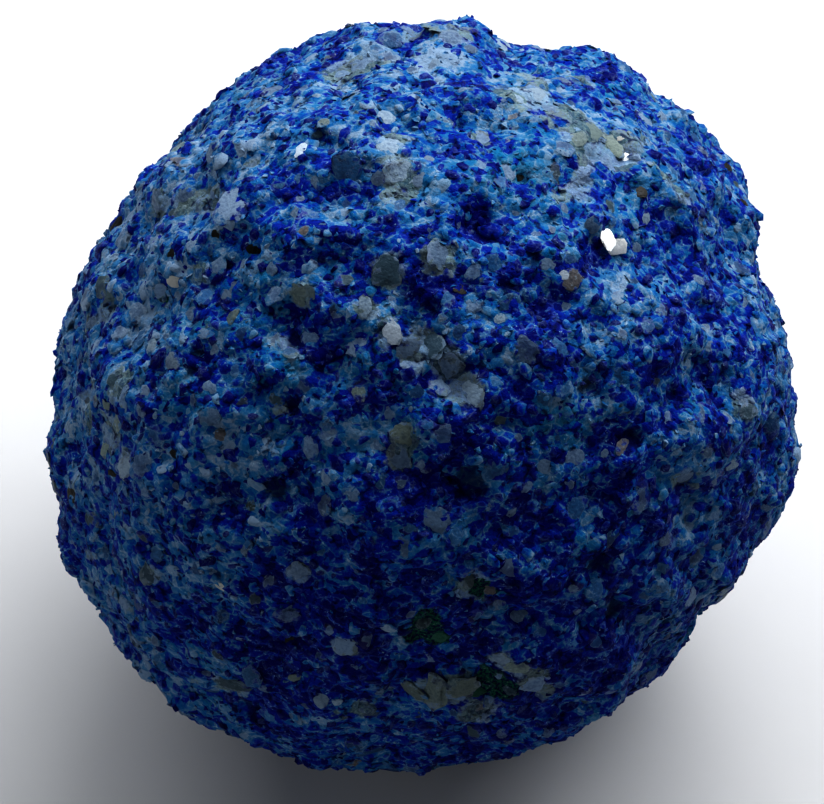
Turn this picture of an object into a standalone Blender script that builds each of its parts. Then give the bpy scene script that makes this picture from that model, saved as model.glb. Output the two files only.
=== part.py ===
"""An azurite nodule: sand grains cemented by azurite into one lumpy ball, with a flattened side to rest on.

Metres, +Z up. The origin is on the rest face, under the middle of the nodule's box.
"""

import math

import bmesh
import bpy
import numpy as np
from mathutils import Vector, noise

MM = 0.001

# The nodule is laid out round its FACE axis, which leans towards -Y and above the horizon. A feature's bearing
# goes round that axis, 0 towards +X and 90 upwards, and its tilt is the angle away from it.
FACE_ELEVATION = 50.0
HALF_ACROSS = 8.76 * MM
HALF_UP = 8.72 * MM
HALF_DEEP = 8.35 * MM

# Broad swellings, and hollows where the height is negative: bearing, tilt, height, angular spread.
SWELLINGS = (
    (226, 86, 0.76 * MM, 27),
    (50, 88, 0.42 * MM, 18),
    (352, 82, 0.14 * MM, 16),
    (282, 90, 0.30 * MM, 20),
    (143, 88, -0.42 * MM, 20),
    (75, 34, 0.30 * MM, 22),
    (318, 40, -0.35 * MM, 17),
    (200, 48, 0.25 * MM, 20),
    (262, 44, -0.22 * MM, 16),
    (30, 132, -0.40 * MM, 22),
    (150, 138, 0.35 * MM, 24),
    (265, 128, 0.30 * MM, 18),
    (270, 156, 0.45 * MM, 22),
)

# Raised caps with a steep rim, which leave steps and notches between them: bearing, tilt, height, radius in degrees.
CAPS = (
    (90, 84, 0.20 * MM, 12.5),
    (108, 88, 0.20 * MM, 6.0),
    (36, 84, 0.40 * MM, 12.0),
    (60, 86, 0.28 * MM, 7.0),
    (350, 70, 0.15 * MM, 20.0),
    (186, 84, 0.22 * MM, 9.0),
    (243, 84, 0.14 * MM, 11.0),
    (264, 88, 0.22 * MM, 9.0),
    (306, 88, 0.20 * MM, 6.0),
    (292, 62, 0.26 * MM, 15.0),
    (270, 30, 0.20 * MM, 12.0),
    (120, 46, 0.20 * MM, 14.0),
    (110, 118, 0.30 * MM, 16.0),
    (330, 124, 0.32 * MM, 14.0),
    (215, 122, 0.28 * MM, 15.0),
    (20, 158, 0.30 * MM, 17.0),
)
CAP_RIM = 2.2  # degrees over which a cap's rim falls away
EDGE_STRAY = ((5.0, 3.0), (13.0, 1.5))  # waves to a radian, and degrees that they move a cap's or a pit's edge

# Pits between the grains: bearing, tilt, depth, radius in degrees.
PITS = (
    (50, 86, 0.50 * MM, 5.0),
    (320, 86, 0.40 * MM, 6.0),
    (298, 14, 0.42 * MM, 6.5),
    (0, 26, 0.40 * MM, 5.5),
    (0, 42, 0.36 * MM, 5.0),
    (337, 36, 0.30 * MM, 4.5),
    (352, 67, 0.35 * MM, 4.0),
    (124, 23, 0.38 * MM, 5.5),
    (94, 13, 0.32 * MM, 5.0),
    (152, 24, 0.30 * MM, 4.5),
    (71, 29, 0.34 * MM, 5.0),
    (109, 42, 0.32 * MM, 4.5),
    (80, 46, 0.30 * MM, 4.5),
    (316, 41, 0.32 * MM, 5.0),
    (295, 66, 0.34 * MM, 5.5),
    (240, 68, 0.30 * MM, 5.0),
    (283, 52, 0.34 * MM, 5.0),
    (208, 34, 0.30 * MM, 5.0),
    (180, 108, 0.40 * MM, 6.0),
    (75, 128, 0.40 * MM, 6.0),
    (285, 112, 0.38 * MM, 5.5),
    (5, 140, 0.40 * MM, 6.0),
)

# Uneven ground under the grains: bump size and height, coarse to fine.
UNEVENNESS = ((3.4 * MM, 0.16 * MM), (1.5 * MM, 0.13 * MM))

# Sand grains in relief. A grain spans one or two faces of the mesh and stands at its own height.
POINTS = 3800
POINT_JITTER = 0.30  # share of the spacing between points
GRAIN_SPACING = 0.85 * MM
GRAIN_STEP = 0.18 * MM
GRAIN_CHIP = 0.08 * MM
GRAIN_SHUFFLE = 7.3  # spreads neighbouring grains over the noise that gives their heights
SEED = 29

# The rest face: how far above the lowest point the ground flattens it.
REST_FLAT_DEPTH = 0.60 * MM
ON_REST_FACE = 0.001 * MM

AZURITE_BLUE = (0.012, 0.045, 0.250, 1.0)
AZURITE_ROUGHNESS = 0.55


def face_axes():
    """Unit vectors to the right of the FACE axis, up from it, and along it."""
    lean = math.radians(FACE_ELEVATION)
    along = Vector((0.0, -math.cos(lean), math.sin(lean)))
    right = Vector((1.0, 0.0, 0.0))
    return right, along.cross(right), along


def direction(bearing, tilt):
    """The unit vector of a feature from its bearing and tilt."""
    right, up, along = face_axes()
    b, t = math.radians(bearing), math.radians(tilt)
    return (right * math.cos(b) + up * math.sin(b)) * math.sin(t) + along * math.cos(t)


def even_directions(count, rng):
    """Unit vectors spread over a sphere on a golden spiral, each moved a little off its place."""
    step = math.pi * (3.0 - math.sqrt(5.0))
    index = np.arange(count)
    height = 1.0 - 2.0 * (index + 0.5) / count
    ring = np.sqrt(1.0 - height**2)
    even = np.stack([ring * np.cos(index * step), ring * np.sin(index * step), height], axis=1)
    spacing = math.sqrt(4.0 * math.pi / count)
    moved = even + rng.normal(0.0, POINT_JITTER * spacing / 2.0, even.shape)
    return moved / np.linalg.norm(moved, axis=1, keepdims=True)


def ellipsoid_radius(along):
    """Distance from the centre to the plain ellipsoid that the nodule is built on."""
    right, up, face = face_axes()
    return 1.0 / math.sqrt(
        (along.dot(right) / HALF_ACROSS) ** 2
        + (along.dot(up) / HALF_UP) ** 2
        + (along.dot(face) / HALF_DEEP) ** 2
    )


def angle_to(along, feature):
    """Degrees between a direction and a feature's own."""
    return math.degrees(math.acos(max(-1.0, min(1.0, along.dot(feature)))))


def smooth_step(value):
    """0 below 0, 1 above 1, and an even turn between."""
    value = max(0.0, min(1.0, value))
    return value * value * (3.0 - 2.0 * value)


def wavering(along):
    """Degrees by which a cap's or a pit's edge strays from a circle."""
    return sum(stray * noise.noise(along * waves) for waves, stray in EDGE_STRAY)


def relief(along):
    """Height of the swellings, caps and pits over the ellipsoid."""
    height = 0.0
    for bearing, tilt, rise, spread in SWELLINGS:
        height += rise * math.exp(-((angle_to(along, direction(bearing, tilt)) / spread) ** 2))
    stray = wavering(along)
    for bearing, tilt, rise, radius in CAPS:
        inside = radius - angle_to(along, direction(bearing, tilt)) + stray
        height += rise * smooth_step(inside / CAP_RIM + 0.5)
    for bearing, tilt, depth, radius in PITS:
        inside = 1.0 - (angle_to(along, direction(bearing, tilt)) - stray) / radius
        height -= depth * smooth_step(inside)
    return height


def unevenness(place):
    """Height of the rolling ground under the grains at a place on the surface."""
    return sum(rise * 2.0 * noise.noise(place / size) for size, rise in UNEVENNESS)


def grain_height(place):
    """Height of the sand grain that a place on the surface belongs to."""
    nearest = noise.voronoi(place / GRAIN_SPACING)[1][0]
    return GRAIN_STEP * noise.cell(nearest * GRAIN_SHUFFLE)


def surface_points(rng):
    """The nodule's corners round its own centre, with the underside flattened."""
    points = []
    chips = rng.uniform(-GRAIN_CHIP, GRAIN_CHIP, POINTS)
    for row, chip in zip(even_directions(POINTS, rng), chips):
        along = Vector(row)
        radius = ellipsoid_radius(along) + relief(along)
        place = along * radius
        radius += unevenness(place) + grain_height(place) + float(chip)
        points.append(along * radius)
    rest_level = min(point.z for point in points) + REST_FLAT_DEPTH
    for point in points:
        if point.z < rest_level:
            point *= rest_level / point.z
    return points, rest_level


def nodule_mesh():
    """One closed mesh: a hull round the even directions, whose corners are then moved out to the surface."""
    points, rest_level = surface_points(np.random.default_rng(SEED))
    low = Vector(map(min, *points))
    high = Vector(map(max, *points))
    origin = Vector(((low.x + high.x) / 2.0, (low.y + high.y) / 2.0, rest_level))
    build = bmesh.new()
    for point in points:
        build.verts.new(point.normalized())
    bmesh.ops.convex_hull(build, input=build.verts)
    for vert, point in zip(build.verts, points, strict=True):
        vert.co = point - origin
        if abs(vert.co.z) < ON_REST_FACE:
            vert.co.z = 0.0
    bmesh.ops.recalc_face_normals(build, faces=build.faces)
    mesh = bpy.data.meshes.new("nodule")
    build.to_mesh(mesh)
    build.free()
    return mesh


def azurite_material():
    """Deep blue, frosted by the sand in it."""
    material = bpy.data.materials.new("azurite")
    material.use_nodes = True
    shader = material.node_tree.nodes["Principled BSDF"]
    shader.inputs["Base Color"].default_value = AZURITE_BLUE
    shader.inputs["Roughness"].default_value = AZURITE_ROUGHNESS
    shader.inputs["Metallic"].default_value = 0.0
    material.diffuse_color = AZURITE_BLUE
    return material


def main():
    for leftover in list(bpy.data.objects):
        bpy.data.objects.remove(leftover)
    parts = bpy.data.collections.new("azurite_nodule")
    bpy.context.scene.collection.children.link(parts)
    nodule = bpy.data.objects.new("nodule", nodule_mesh())
    nodule.data.materials.append(azurite_material())
    parts.objects.link(nodule)


main()
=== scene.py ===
"""An azurite nodule, 18 mm across: sand grains cemented by azurite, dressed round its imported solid.

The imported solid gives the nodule's form. The crust is that form, divided finely and sunk a little. The
sand grains and crystals are closed stones set in the crust, whose tips reach the solid's surface. Sizes
are in metres, and the nodule rests on z = 0.
"""

import functools
import itertools
import math
from collections import defaultdict, namedtuple
from types import SimpleNamespace

import bmesh
import bpy
import numpy as np
from bpy.props import FloatProperty, FloatVectorProperty, IntProperty, PointerProperty
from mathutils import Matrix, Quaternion, Vector, noise
from mathutils.bvhtree import BVHTree


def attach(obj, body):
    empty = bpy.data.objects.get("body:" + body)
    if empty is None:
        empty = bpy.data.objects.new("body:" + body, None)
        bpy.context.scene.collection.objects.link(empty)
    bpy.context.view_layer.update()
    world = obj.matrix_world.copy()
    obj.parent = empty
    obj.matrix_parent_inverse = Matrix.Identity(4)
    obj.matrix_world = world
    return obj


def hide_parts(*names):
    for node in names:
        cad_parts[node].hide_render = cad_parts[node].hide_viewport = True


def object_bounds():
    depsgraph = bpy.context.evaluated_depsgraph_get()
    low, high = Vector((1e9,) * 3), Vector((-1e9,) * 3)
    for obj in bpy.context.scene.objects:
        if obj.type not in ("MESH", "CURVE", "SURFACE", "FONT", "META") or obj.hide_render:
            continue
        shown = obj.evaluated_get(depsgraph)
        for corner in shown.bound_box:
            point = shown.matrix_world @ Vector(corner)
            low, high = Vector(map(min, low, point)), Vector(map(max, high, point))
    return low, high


bl_info = {
    "name": "Azurite nodule",
    "version": (1, 0, 0),
    "blender": (4, 5, 0),
    "location": "View3D > Sidebar > Nodule",
    "description": "Dresses an azurite nodule with its sand grains and crystals, on a pale floor",
    "category": "Object",
}

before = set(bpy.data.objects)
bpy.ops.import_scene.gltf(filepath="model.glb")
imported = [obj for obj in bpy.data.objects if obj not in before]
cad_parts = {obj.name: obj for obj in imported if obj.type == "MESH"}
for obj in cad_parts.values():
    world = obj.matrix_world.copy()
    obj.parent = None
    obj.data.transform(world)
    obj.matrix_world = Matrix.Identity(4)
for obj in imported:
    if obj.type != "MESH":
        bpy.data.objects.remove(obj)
CAD_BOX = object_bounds()
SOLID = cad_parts["nodule"]
BOX_LOW = Vector(CAD_BOX[0])
BOX_HIGH = Vector(CAD_BOX[1])
BOX_MIDDLE = (BOX_LOW + BOX_HIGH) / 2.0

MM = 0.001
SEED = 41

# The camera looks down on the nodule from -Y. Picture places are in pixels from the top left corner.
PICTURE_WIDE = 824
PICTURE_HIGH = 804
CAMERA_ELEVATION = 50.0
CAMERA_DISTANCE = 110.0 * MM
PICTURE_SCALE = 0.02423 * MM  # what one pixel spans at the middle of the nodule
MIDDLE_ACROSS = 422.7
MIDDLE_DOWN = 378.4
SENSOR_WIDE = 36.0
CLIP_START = 0.01


# ---- What a user would change ----


def length(name, description, default):
    """A size in metres."""
    return FloatProperty(
        name=name, description=description, default=default, min=0.0, precision=6, unit="LENGTH"
    )


def power(name, description, default):
    """A lamp's power in watts."""
    return FloatProperty(name=name, description=description, default=default, min=0.0, unit="POWER")


def limit(name, description, default):
    """The most pieces of one kind."""
    return IntProperty(name=name, description=description, default=default, min=0)


def colour(name, description, default):
    """A linear colour."""
    return FloatVectorProperty(
        name=name, description=description, default=default, min=0.0, max=1.0, size=3, subtype="COLOR"
    )


class NODULE_PG_sizes(bpy.types.PropertyGroup):
    """Sizes and counts of the crust, the grains and the crystals."""

    crust_sink: length("Crust sink", "How far the crust lies under the solid's surface", 0.02 * MM)
    crust_lumps: length("Crust lumps", "Height of the crust's small lumps", 0.11 * MM)
    hole_depth: length("Hole depth", "Depth of the holes between the grains", 0.14 * MM)
    sand_across: length("Sand grain", "Width of a middling sand grain", 0.46 * MM)
    crystal_across: length("Crystal", "Width of a middling azurite crystal", 0.34 * MM)
    speck_across: length("Speck", "Width of the small crystals between the others", 0.19 * MM)
    # rim_across: the width of the painted highlight along the crystals' edges
    rim_across: length("Rim", "Width of the frosted rim along a stone's edges", 0.025 * MM)
    rest_gap: length("Rest gap", "How far the crust stays above the rest face", 0.03 * MM)
    sand_count: limit("Sand grains", "Most sand grains", 1300)
    crystal_count: limit("Crystals", "Most azurite crystals", 6800)
    speck_count: limit("Specks", "Most small crystals", 15800)


class NODULE_PG_colours(bpy.types.PropertyGroup):
    """Colours of the minerals."""

    night: colour("Night blue", "Azurite in the hollows", (0.0001, 0.0009, 0.084))
    ultramarine: colour("Ultramarine", "Clean azurite crystals", (0.0003, 0.0140, 0.206))
    azure: colour("Azure", "Lightly frosted azurite", (0.0035, 0.078, 0.228))
    frost: colour("Frosted blue", "Azurite frosted by quartz dust", (0.035, 0.128, 0.255))
    haze: colour("Haze", "The palest frosted azurite", (0.150, 0.215, 0.305))
    teal: colour("Teal", "Azurite with a trace of malachite", (0.003, 0.105, 0.200))
    lavender: colour("Lavender", "Azurite with a purple cast", (0.085, 0.110, 0.215))
    # Partly frosted specks and partly painted glints.
    fleck: colour("Fleck", "The brightest frosted specks", (0.240, 0.380, 0.470))
    # This colour is painted shade in the slits and holes between grains, and the dark specks in the
    # copper stains.
    pit: colour("Pit", "The gaps between grains", (0.0004, 0.0012, 0.027))
    quartz: colour("Quartz", "Grey sand grains", (0.125, 0.190, 0.280))
    pale_quartz: colour("Pale quartz", "The clearest sand grains", (0.200, 0.270, 0.340))
    smoky_quartz: colour("Smoky quartz", "Dark sand grains", (0.040, 0.066, 0.072))
    olive: colour("Olive", "Sand grains with a green-grey stain", (0.130, 0.170, 0.155))
    milky_quartz: colour("Milky quartz", "Cloudy pale sand grains", (0.300, 0.360, 0.430))
    cream: colour("Cream", "Feldspar grains", (0.460, 0.470, 0.450))
    white: colour("White", "The whitest grains", (0.860, 0.890, 0.900))
    rosy: colour("Rosy", "Sand grains with a brownish pink stain", (0.125, 0.118, 0.122))
    rust: colour("Rust", "Iron-stained grains", (0.125, 0.112, 0.110))
    soot: colour("Soot", "Manganese specks", (0.006, 0.006, 0.005))
    malachite: colour("Malachite", "Green copper mineral", (0.007, 0.060, 0.042))
    floor: colour("Floor", "The pale surface under the nodule", (0.45, 0.455, 0.465))


class NODULE_PG_light(bpy.types.PropertyGroup):
    """The studio's light."""

    key_power: power("Key", "Wide lamp behind the nodule", 0.44)
    side_power: power("Side", "Lamp behind and right", 0.23)
    fill_power: power("Fill", "Lamp in front and left", 0.12)
    sky: FloatProperty(name="Sky", description="Strength of the even light", default=0.12, min=0.0)


# ---- Camera geometry ----


def camera_axes():
    """Unit vectors to the picture's right and top, and from the nodule to the camera."""
    lean = math.radians(CAMERA_ELEVATION)
    back = Vector((0.0, -math.cos(lean), math.sin(lean)))
    right = Vector((1.0, 0.0, 0.0))
    return right, back.cross(right), back


def picture_place(across, down):
    """The point that a picture place shows, on the plane through the nodule's middle across the view."""
    right, up, _ = camera_axes()
    sideways = right * ((across - MIDDLE_ACROSS) * PICTURE_SCALE)
    return BOX_MIDDLE + sideways + up * ((MIDDLE_DOWN - down) * PICTURE_SCALE)


def camera_place():
    """Where the camera stands."""
    _, _, back = camera_axes()
    return picture_place(PICTURE_WIDE / 2.0, PICTURE_HIGH / 2.0) + back * CAMERA_DISTANCE


# ---- Shader maths ----


BEDDING = (0.80, 1.08, 1.12)  # how much finer the cells are along each axis, so they lie wide along X


def named_colour(name):
    """One of the minerals' colours."""
    return tuple(getattr(bpy.context.scene.nodule_colours, name))


class Reading:
    """A shader socket that Python arithmetic works on. Each operator adds a Math node."""

    def __init__(self, shade, socket):
        self.shade = shade
        self.socket = socket

    def sibling(self, output):
        """Another output of the same node."""
        return Reading(self.shade, self.socket.node.outputs[output])

    def maths(self, operation, *values):
        return self.shade.node("ShaderNodeMath", {"operation": operation}, dict(enumerate(values)))

    def __add__(self, other):
        return self.maths("ADD", self, other)

    def __radd__(self, other):
        return self.maths("ADD", other, self)

    def __sub__(self, other):
        return self.maths("SUBTRACT", self, other)

    def __rsub__(self, other):
        return self.maths("SUBTRACT", other, self)

    def __mul__(self, other):
        return self.maths("MULTIPLY", self, other)

    def __rmul__(self, other):
        return self.maths("MULTIPLY", other, self)

    def step(self, low, high):
        """0 at low, 1 at high, with an even turn between."""
        return self.shade.node(
            "ShaderNodeMapRange",
            {"interpolation_type": "SMOOTHSTEP"},
            {"Value": self, "From Min": low, "From Max": high},
        )


class Shade:
    """One material and the nodes that go into it."""

    def __init__(self, name, **constants):
        self.material = bpy.data.materials.new(name)
        self.material.use_nodes = True
        self.tree = self.material.node_tree
        self.surface = self.tree.nodes["Principled BSDF"]
        for socket, value in constants.items():
            self.surface.inputs[socket.replace("_", " ")].default_value = value

    def node(self, kind, settings, sockets, output=0):
        """Adds a node with its settings, then its sockets' values or links, and returns an output."""
        made = self.tree.nodes.new(kind)
        for name, value in settings.items():
            if name == "stops":
                self.set_stops(made.color_ramp.elements, value)
            else:
                setattr(made, name, value)
        for name, value in sockets.items():
            self.feed(made.inputs[name], value)
        return Reading(self, made.outputs[output])

    def feed(self, socket, value):
        """Links a socket to a reading, or sets it. A colour can be given by its name."""
        if isinstance(value, str):
            value = named_colour(value)
        if isinstance(value, Reading):
            self.tree.links.new(value.socket, socket)
        elif hasattr(socket.default_value, "__len__") and len(socket.default_value) == 4:
            socket.default_value = (*value, 1.0)
        else:
            socket.default_value = value

    def mix(self, amount, first, second, blend="MIX"):
        """A colour between two others."""
        settings = {"data_type": "RGBA", "blend_type": blend, "clamp_factor": True}
        return self.node("ShaderNodeMix", settings, {0: amount, 6: first, 7: second}, output=2)

    def attribute(self, name, output):
        return self.node("ShaderNodeAttribute", {"attribute_name": name}, {}, output)

    def parts(self, vector):
        """A vector's three numbers."""
        return [self.node("ShaderNodeSeparateXYZ", {}, {"Vector": vector}, axis) for axis in "XYZ"]

    def set_stops(self, points, stops):
        """Gives a ramp its places and named colours."""
        for _ in stops[2:]:
            points.new(0.5)
        for point, (at, stop) in zip(points, stops):
            point.position = at
            point.color = (*named_colour(stop), 1.0)

    def ramp(self, value, stops):
        """A colour from a ramp of named colours, at places from 0 to 1."""
        return self.node("ShaderNodeValToRGB", {"stops": stops}, {0: value})

    def edge_distance(self):
        """How far a place is from the nearest edge of its stone's face."""
        first, second, third = self.parts(self.attribute("edge", "Vector"))
        nearest = first.maths("MINIMUM", first, second)
        return nearest.maths("MINIMUM", nearest, third)

    def place(self):
        return self.node("ShaderNodeTexCoord", {}, {}, output="Object")

    def vectors(self, operation, *values):
        return self.node("ShaderNodeVectorMath", {"operation": operation}, dict(enumerate(values)))

    def clouds(self, size, detail=3.0, roughness=0.55):
        """Soft noise from about 0 to 1, whose blobs are about this size."""
        sockets = {"Vector": self.place(), "Scale": 1.0 / size, "Detail": detail, "Roughness": roughness}
        return self.node("ShaderNodeTexNoise", {}, sockets)

    def warped(self, size, distance):
        """The place, moved about by noise of this size, so that cells made from it have uneven sides."""
        wander = self.clouds(size, detail=2.0).sibling("Color")
        half = self.vectors("SUBTRACT", wander, (0.5, 0.5, 0.5))
        moved = self.vectors("MULTIPLY_ADD", half, (distance, distance, distance), self.place())
        return self.vectors("MULTIPLY", moved, BEDDING)

    def cells(self, place, size, feature="F1"):
        """Grain-like cells of about this size."""
        sockets = {"Vector": place, "Scale": 1.0 / size}
        return self.node("ShaderNodeTexVoronoi", {"feature": feature}, sockets)

    def channel(self, colour, name):
        """One channel of a colour."""
        return self.node("ShaderNodeSeparateColor", {}, {"Color": colour}, name)

    def bump(self, height, distance, strength):
        sockets = {"Height": height, "Distance": distance, "Strength": strength}
        return self.node("ShaderNodeBump", {}, sockets)

    def finish(self, **links):
        """Feeds the Principled shader and returns the material."""
        for socket, value in links.items():
            self.feed(self.surface.inputs[socket.replace("_", " ")], value)
        return self.material


# ---- The crust: the solid's form, divided finely and sunk under the grains ----

CRUST_CUTS = 4
CRUST_ROUNDS = 8  # of smoothing
DOME_SIZE = 0.45 * MM
WELD = 0.0005 * MM
LUMP_SIZES = ((0.95 * MM, 0.35), (0.30 * MM, 0.8))  # each noise's size and weight


def lumps(place):
    """Height of the crust's lumps and of the grains buried in it at a place, from about -1 to 1."""
    rolling = sum(weight * noise.noise(place / size) for size, weight in LUMP_SIZES)
    return rolling + 0.5 - noise.voronoi(place / DOME_SIZE)[0][0]


def crust_mesh(sizes, ground):
    """The solid's mesh with its facets rounded off, sunk, and roughened with lumps and holes."""
    build = bmesh.new()
    build.from_mesh(SOLID.data)
    bmesh.ops.remove_doubles(build, verts=build.verts, dist=WELD)
    bmesh.ops.subdivide_edges(build, edges=build.edges, cuts=CRUST_CUTS, use_grid_fill=True)
    bmesh.ops.triangulate(build, faces=build.faces)
    for _ in range(CRUST_ROUNDS):
        bmesh.ops.smooth_vert(
            build, verts=build.verts, factor=0.5, use_axis_x=True, use_axis_y=True, use_axis_z=True
        )
    build.normal_update()
    for vert in build.verts:
        height = lumps(vert.co) * sizes.crust_lumps - sizes.crust_sink
        height -= ground.hole_share(vert.co) * sizes.hole_depth
        vert.co = vert.co + vert.normal * height
        vert.co.z = max(vert.co.z, sizes.rest_gap)
    mesh = bpy.data.meshes.new("azurite_crust")
    build.to_mesh(mesh)
    build.free()
    mesh.shade_smooth()
    return mesh


# ---- Where the grains sit ----

Stone = namedtuple("Stone", "place normal across kind lift")

# Grains that stand out, by the place where the picture shows them: across, down, width in pixels, kind.
LANDMARKS = (
    # the pale cluster in the middle, and its neighbours
    (365, 306, 22, "pale_quartz"), (388, 333, 27, "milky"), (358, 342, 30, "quartz"),
    (405, 352, 24, "quartz"), (430, 345, 26, "smoky_olive"), (448, 366, 26, "quartz"),
    (465, 393, 38, "pale_quartz"), (440, 383, 22, "quartz"), (472, 306, 20, "quartz"),
    (500, 321, 17, "pale_quartz"), (472, 271, 21, "quartz"), (440, 254, 28, "quartz"),
    (388, 271, 36, "smoky_olive"), (346, 278, 23, "smoky_olive"), (311, 336, 22, "quartz"),
    (301, 298, 34, "olive"), (276, 291, 26, "quartz"),
    # upper left
    (231, 203, 38, "haze"), (230, 199, 8, "white"), (219, 266, 18, "quartz"), (173, 283, 18, "cream"),
    (161, 291, 22, "quartz"), (154, 201, 26, "haze"), (131, 215, 22, "haze"), (179, 160, 20, "rosy"),
    (304, 230, 14, "rust"), (214, 236, 13, "soot"), (172, 252, 13, "soot"), (256, 251, 15, "soot"),
    (318, 134, 20, "smoky_olive"), (325, 122, 14, "olive"), (299, 150, 16, "milky"),
    (274, 90, 26, "haze"), (311, 57, 24, "haze"), (316, 96, 9, "pale_quartz"), (362, 66, 30, "quartz"),
    (344, 74, 22, "quartz"), (388, 116, 22, "pale_quartz"), (390, 147, 24, "pale_quartz"),
    (400, 172, 30, "pale_quartz"), (378, 180, 24, "haze"), (420, 178, 22, "haze"),
    # top and upper right
    (452, 40, 26, "quartz"), (505, 44, 26, "pale_quartz"), (539, 95, 26, "pale_quartz"),
    (527, 105, 12, "pale_quartz"), (548, 108, 20, "quartz"), (518, 98, 20, "pale_quartz"),
    (513, 117, 12, "rust"), (480, 140, 24, "quartz"), (594, 132, 28, "olive"), (613, 146, 30, "olive"),
    (577, 140, 22, "olive"), (605, 160, 22, "quartz"), (619, 138, 8, "cream"), (625, 157, 9, "white"),
    (646, 121, 26, "haze"), (664, 118, 18, "haze"), (522, 178, 14, "soot"), (507, 171, 20, "quartz"),
    (641, 192, 16, "soot"), (609, 240, 23, "white"), (616, 247, 24, "white"), (592, 226, 18, "quartz"),
    (646, 219, 17, "pale_quartz"), (636, 249, 20, "haze"), (573, 279, 23, "rosy"),
    (564, 275, 10, "milky"), (549, 264, 18, "quartz"), (567, 306, 24, "quartz"), (709, 347, 14, "haze"),
    (716, 134, 16, "smoky_olive"), (724, 150, 15, "smoky_olive"), (729, 168, 14, "soot"),
    (736, 184, 14, "smoky_olive"), (744, 202, 13, "soot"), (748, 411, 22, "smoky_olive"),
    (742, 400, 12, "haze"),
    # left and lower left
    (120, 331, 22, "haze"), (92, 323, 18, "haze"), (113, 378, 20, "smoky_olive"),
    (122, 396, 24, "quartz"), (117, 420, 22, "olive"), (105, 448, 20, "olive"),
    (125, 467, 24, "pale_quartz"), (112, 474, 12, "soot"), (212, 417, 24, "quartz"),
    (311, 450, 22, "quartz"), (326, 479, 18, "haze"), (398, 460, 26, "quartz"), (405, 436, 26, "olive"),
    (220, 588, 20, "cream"), (213, 572, 12, "quartz"), (149, 574, 24, "smoky_olive"),
    (110, 601, 16, "quartz"), (299, 574, 26, "quartz"), (289, 638, 22, "soot"), (343, 645, 26, "quartz"),
    (388, 629, 18, "pale_quartz"), (231, 682, 36, "smoky_olive"), (321, 699, 20, "pale_quartz"),
    (337, 702, 11, "pale_quartz"), (294, 678, 16, "olive"),
    # lower right
    (604, 453, 15, "haze"), (624, 450, 20, "rosy"), (542, 467, 24, "quartz"), (527, 488, 15, "quartz"),
    (684, 477, 26, "quartz"), (733, 465, 17, "pale_quartz"), (437, 520, 28, "quartz"),
    (517, 614, 20, "quartz"), (472, 580, 22, "smoky_olive"), (490, 590, 15, "rosy"),
    (691, 597, 24, "quartz"), (661, 601, 16, "pale_quartz"), (716, 549, 18, "quartz"),
    (424, 622, 20, "smoky_olive"), (438, 638, 18, "malachite"), (432, 692, 38, "olive"),
    (412, 690, 30, "olive"), (462, 688, 28, "olive"), (500, 660, 22, "pale_quartz"),
    (532, 684, 28, "quartz"), (518, 668, 24, "olive"), (478, 690, 20, "malachite"),
    (510, 690, 20, "smoky_olive"), (484, 706, 20, "rosy"), (470, 730, 22, "smoky_olive"),
    # left, among the paler crystals
    (192, 246, 16, "haze"), (271, 269, 16, "quartz"), (242, 265, 14, "haze"),
    (205, 295, 22, "blue_quartz"), (230, 289, 22, "quartz"), (137, 311, 22, "quartz"),
    (192, 311, 20, "haze"), (232, 317, 16, "olive"), (205, 331, 20, "quartz"),
    (151, 347, 16, "pale_quartz"), (171, 363, 20, "pale_quartz"), (214, 351, 14, "haze"),
    (211, 388, 18, "haze"), (105, 404, 14, "olive"), (140, 411, 16, "quartz"), (146, 390, 14, "haze"),
    (222, 434, 14, "rosy"), (174, 456, 13, "soot"), (146, 493, 14, "quartz"), (203, 470, 12, "haze"),
    (278, 399, 16, "smoky_olive"), (178, 295, 14, "haze"),
)

# Patches where the crust changes: across, down and reach in pixels, then how pale, sandy and green.
# Their paleness is partly the azurite's own frost and partly painted light and shade: paler near the lit
# top, and darker as painted shade over the lower half and along the right edge.
Patch = namedtuple("Patch", "across down reach pale sandy green")
PATCHES = (
    (420, 60, 130, 0.02, 0.20, 0.00), (300, 110, 110, 0.20, 0.10, 0.00),
    (560, 130, 130, 0.00, 0.10, 0.10), (690, 250, 110, 0.00, 0.10, 0.05),
    (140, 250, 110, 0.24, 0.24, -0.25), (80, 420, 80, -0.04, 0.15, -0.05),
    (770, 240, 60, -0.16, 0.00, 0.20), (770, 540, 80, -0.18, 0.00, 0.10),
    (600, 70, 80, -0.10, 0.00, 0.10), (400, 175, 45, 0.22, 0.40, 0.00), (365, 65, 40, 0.22, 0.40, 0.00),
    (600, 145, 45, 0.10, 0.50, 0.20), (385, 330, 55, 0.10, 0.20, 0.10), (440, 370, 45, 0.05, 0.20, 0.10),
    (180, 370, 80, 0.08, 0.14, 0.15), (375, 250, 50, -0.38, -0.40, 0.00),
    (325, 312, 32, -0.38, -0.30, 0.00), (345, 158, 30, -0.34, -0.40, -0.20),
    (395, 90, 26, -0.34, -0.40, -0.20), (300, 180, 26, -0.18, -0.20, 0.00),
    (500, 255, 30, -0.20, -0.20, 0.00), (585, 272, 26, -0.38, -0.30, 0.00),
    (545, 336, 34, -0.20, -0.30, 0.00), (655, 335, 36, -0.20, -0.30, 0.00),
    (425, 305, 26, -0.30, -0.20, 0.00), (380, 380, 32, -0.26, -0.30, 0.00),
    (500, 480, 90, -0.20, -0.20, 0.00), (600, 560, 90, -0.24, -0.20, 0.00),
    (430, 560, 90, -0.20, -0.10, 0.00), (260, 640, 90, -0.18, -0.05, 0.10),
    (200, 560, 60, -0.10, 0.00, 0.10), (430, 440, 110, -0.02, 0.00, 0.35),
    (430, 680, 235, -0.33, 0.00, 0.00), (250, 330, 100, 0.00, 0.00, 0.30),
    (560, 200, 90, 0.00, 0.00, 0.30), (620, 470, 80, -0.05, 0.00, 0.25),
)

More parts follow.
